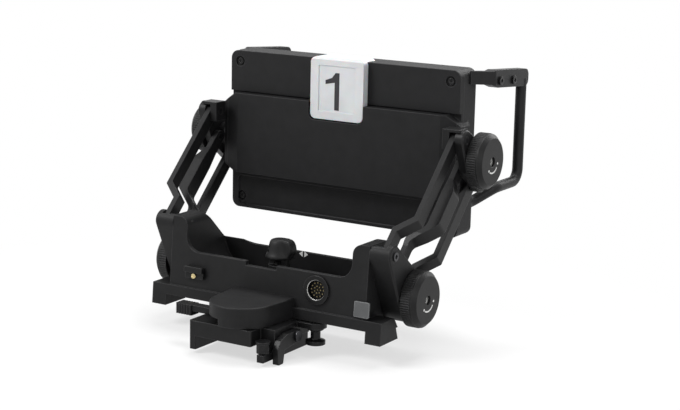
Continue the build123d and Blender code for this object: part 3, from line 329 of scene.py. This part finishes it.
dull_contact = brushed("dull_contact", (0.16, 0.13, 0.07), (0.24, 0.20, 0.11), (0.34, 0.46), (1, 1, 4))
own_finish = {
    "connector_shell": materials["turned_black"], "cable_clamp_screw": yellow_zinc,
    "cover_screws": materials["turned_black"], "handle_screws": materials["turned_black"],
    "connector_pins": dull_contact,
}
for level in ("lower", "upper"):
    centre = middle_of(level + "_knob_right")
    for side in ("left", "right"):
        own_finish[level + "_knob_" + side] = printed_knob(level + "_knob_print", centre[1], centre[2])
for row in frame["record"]["subparts"]:
    part = nodes[row["node"]]
    part.data.materials.clear()
    part.data.materials.append(own_finish.get(row["node"], materials[row["material_slot"]]))


# ---------------------------------------------------------------- fittings and marks
def new_piece(name, points, faces, material, body, smooth=False):
    mesh = bpy.data.meshes.new(name)
    mesh.from_pydata([tuple(point) for point in points], [], faces)
    mesh.materials.append(material)
    if smooth:
        mesh.polygons.foreach_set("use_smooth", [True] * len(mesh.polygons))
    obj = bpy.data.objects.new(name, mesh)
    scene.collection.objects.link(obj)
    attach(obj, body)
    return obj


def flat_mark(name, outline, place, material, body):
    """A printed shape: a flat outline laid out in the plane that place(a, b) describes."""
    points = [place(a, b) for a, b in outline]
    return new_piece(name, points, [tuple(range(len(points)))], material, body)


def lathe(name, origin, along, profile, material, body, steps=64):
    """A ring turned about the axis through origin: profile gives radius and height pairs."""
    axis = Vector(along).normalized()
    side = axis.orthogonal().normalized()
    other = axis.cross(side)
    points, faces = [], []
    rows = len(profile)
    for step in range(steps):
        turn_angle = 2 * math.pi * step / steps
        out = side * math.cos(turn_angle) + other * math.sin(turn_angle)
        points += [Vector(origin) + out * r + axis * h for r, h in profile]
        following = (step + 1) % steps
        for row in range(rows):
            above = (row + 1) % rows
            here, there = step * rows, following * rows
            faces.append((here + row, there + row, there + above, here + above))
    return new_piece(name, points, faces, material, body, smooth=True)


# Numeral on the tally cover, a lamp number and not a name
cover_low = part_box("tally_cover")[0]
numeral = [
    (-0.0024, 0.1650), (0.0023, 0.1650), (0.0023, 0.1968), (-0.0016, 0.1968),
    (-0.0050, 0.1924), (-0.0115, 0.1900), (-0.0115, 0.1866), (-0.0024, 0.1884),
]
numeral_y = cover_low[1] + 0.0006 - 0.00004
flat_mark("tally_numeral", numeral, lambda a, b: (a, numeral_y, b), numeral_grey, "head")

# Arrows printed on the back wall of the trough, beside the centre lock knob
arrow_x = 0.0008
trough_wall_y = 0.07696
for side in (-1, 1):
    root_x, tip_x = arrow_x + side * 0.0008, arrow_x + side * 0.0044
    arrow = [(root_x, 0.0476), (tip_x, 0.0502), (root_x, 0.0528)]
    arrow = arrow if side > 0 else arrow[::-1]
    flat_mark(
        "lock_arrow_%d" % (side + 1), arrow, lambda a, b: (a, trough_wall_y, b),
        print_white, "base",
    )

# Bright ring in the mouth of the round connector
mount = frame["record"]["mounts"][1]
mouth = Vector(mount["pos_m"])
outwards = Vector(mount["axis"])
lathe(
    "connector_bright_ring", mouth, outwards,
    [(0.00818, -0.0001), (0.0076, -0.0012), (0.00818, -0.0012)],
    materials["bright_steel"], "base",
)

# Centre lock knob: rounded body with a fin towards +X, on its stud
lock_low, lock_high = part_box("centre_lock_knob")
lock_y = lock_high[1] - 0.012
lock_sections = [
    (0.0540, 0.0060, 0.0060), (0.0540, 0.0108, 0.0108), (0.0545, 0.0115, 0.0115), (0.0562, 0.0116, 0.0116),
    (0.0572, 0.0110, 0.0120), (0.0590, 0.0100, 0.0141), (0.0620, 0.0093, 0.0138), (0.0650, 0.0087, 0.0131),
    (0.0675, 0.0080, 0.0120), (0.0690, 0.0069, 0.0103), (0.0697, 0.0050, 0.0076), (0.0699, 0.0020, 0.0030),
]
lock_points, lock_faces = [], []
around = 72
for z, body_radius, fin in lock_sections:
    for step in range(around):
        t = 2 * math.pi * step / around
        radius = body_radius
        if math.cos(t) > 0.05:
            edge = min(fin / math.cos(t), 0.0052 / max(abs(math.sin(t)), 0.05))
            radius = (body_radius ** 14 + min(edge, fin * 1.05) ** 14) ** (1 / 14)
        radius = min(radius, 0.0143)
        lock_points.append((radius * math.cos(t), lock_y + radius * math.sin(t), z))
for row in range(len(lock_sections) - 1):
    for step in range(around):
        following = (step + 1) % around
        low_row, high_row = row * around, (row + 1) * around
        lock_faces.append((low_row + step, low_row + following, high_row + following, high_row + step))
lock_faces.append(tuple(range((len(lock_sections) - 1) * around, len(lock_sections) * around)))
lock_faces.append(tuple(reversed(range(around))))
lock_body = new_piece(
    "lock_knob_body", lock_points, lock_faces, materials["control_plastic"],
    "centre_lock", smooth=True,
)
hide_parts("centre_lock_knob")
lathe(
    "lock_knob_stud", (0, lock_y, lock_low[2]), (0, 0, 1),
    [(0.0001, 0.0004), (0.0036, 0.0004), (0.0036, 0.0282), (0.0001, 0.0282)],
    materials["turned_black"], "centre_lock", steps=32,
)
# Painted shade: the two holes in the lock knob are near-black discs standing just proud of the surface, not
# recesses
painted_hole_shade = coated(
    "painted_hole_shade", (0.0010, 0.0010, 0.0010), (0.0016, 0.0016, 0.0016), (0.7, 0.8), 2000, 0.05, specular=0.05,
)
outward = Vector((math.cos(math.radians(-128)), math.sin(math.radians(-128)), 0.18)).normalized()
for number, (height, distance) in enumerate(((0.0588, 0.01012), (0.0625, 0.00925))):
    lathe(
        "lock_knob_painted_hole_%d" % number, Vector((0, lock_y, height)) + outward * distance, outward,
        [(0.0001, -0.0006), (0.0010, -0.0006), (0.0010, 0.00008), (0.0001, 0.00008)],
        painted_hole_shade, "centre_lock", steps=24,
    )

# White index lines on the three dials
for name in ("brightness", "contrast", "peaking"):
    low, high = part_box(name + "_dial")
    x, z, y = (low[0] + high[0]) / 2, (low[2] + high[2]) / 2, high[1] - 0.00002
    left_x, right_x, start_z, end_z = x - 0.0004, x + 0.0004, z + 0.0020, z + 0.0056
    line = [(left_x, start_z), (right_x, start_z), (right_x, end_z), (left_x, end_z)]
    flat_mark(
        name + "_index", line[::-1], lambda a, b: (a, y, b),
        print_white, name + "_dial",
    )

# ---------------------------------------------------------------- floor, lights
def seen_directly(tree):
    """1 for rays from the camera or by way of metal and glass, 0 for the light that falls on the object."""
    path = tree.nodes.new("ShaderNodeLightPath")
    seen = combine(tree, "MAXIMUM", path.outputs["Is Camera Ray"], path.outputs["Is Glossy Ray"])
    return combine(tree, "MAXIMUM", seen, path.outputs["Is Transmission Ray"])


low = cad_box[0][2]
floor_material, floor_tree, floor_shader, floor_vector = shader("floor")
tone = noise(floor_tree, floor_vector, 2.0, 1.0)
floor_tree.links.new(
    blend_colours(floor_tree, remap(floor_tree, tone, 0.0, 1.0), (0.80, 0.80, 0.80), (0.82, 0.82, 0.82)),
    floor_shader.inputs["Base Color"],
)
floor_shader.inputs["Roughness"].default_value = 0.9
floor_shader.inputs["Specular IOR Level"].default_value = 0.1
paper = floor_tree.nodes.new("ShaderNodeEmission")
paper.inputs["Strength"].default_value = 1.0
paper.inputs["Color"].default_value = (1.0, 1.0, 1.0, 1.0)
reach = floor_tree.nodes.new("ShaderNodeVectorMath")
reach.operation = "LENGTH"
floor_tree.links.new(floor_vector, reach.inputs[0])
away = remap(floor_tree, reach.outputs["Value"], 0.62, 1.0, 0.14, 0.42)
floor_mix = floor_tree.nodes.new("ShaderNodeMixShader")
floor_tree.links.new(combine(floor_tree, "MULTIPLY", seen_directly(floor_tree), away), floor_mix.inputs[0])
floor_tree.links.new(floor_shader.outputs[0], floor_mix.inputs[1])
floor_tree.links.new(paper.outputs[0], floor_mix.inputs[2])
floor_tree.links.new(floor_mix.outputs[0], floor_tree.nodes["Material Output"].inputs["Surface"])
floor_mesh = bpy.data.meshes.new("floor")
floor_mesh.from_pydata([(-8, -8, low), (8, -8, low), (8, 8, low), (-8, 8, low)], [], [(0, 1, 2, 3)])
floor_mesh.materials.append(floor_material)
floor = bpy.data.objects.new("floor", floor_mesh)
scene.collection.objects.link(floor)

world = bpy.data.worlds.new("world")
scene.world = world
world.use_nodes = True
sky = world.node_tree
background = sky.nodes["Background"]
background.inputs["Color"].default_value = (0.9, 0.9, 0.9, 1.0)
seen = seen_directly(sky)
sky.links.new(remap(sky, seen, 0.36, 1.11, 0.0, 1.0), background.inputs["Strength"])


def softbox(name, place, target, size, power):
    light = bpy.data.lights.new(name, "AREA")
    light.shape = "RECTANGLE"
    light.size, light.size_y = size
    light.energy = power
    lamp = bpy.data.objects.new(name, light)
    scene.collection.objects.link(lamp)
    lamp.location = place
    lamp.rotation_mode = "QUATERNION"
    lamp.rotation_quaternion = (Vector(target) - Vector(place)).to_track_quat("-Z", "Y")
    return lamp


softbox("key", (-1.0, -1.1, 1.5), (0, 0.08, 0.1), (0.9, 0.7), 30)
softbox("fill", (1.5, -0.8, 0.7), (0, 0.08, 0.1), (0.7, 0.9), 6)
softbox("top", (0.1, 0.5, 1.6), (0, 0.08, 0.1), (1.2, 0.8), 21)
softbox("back", (0.2, 1.6, 0.9), (0, 0.08, 0.1), (1.0, 0.8), 10)
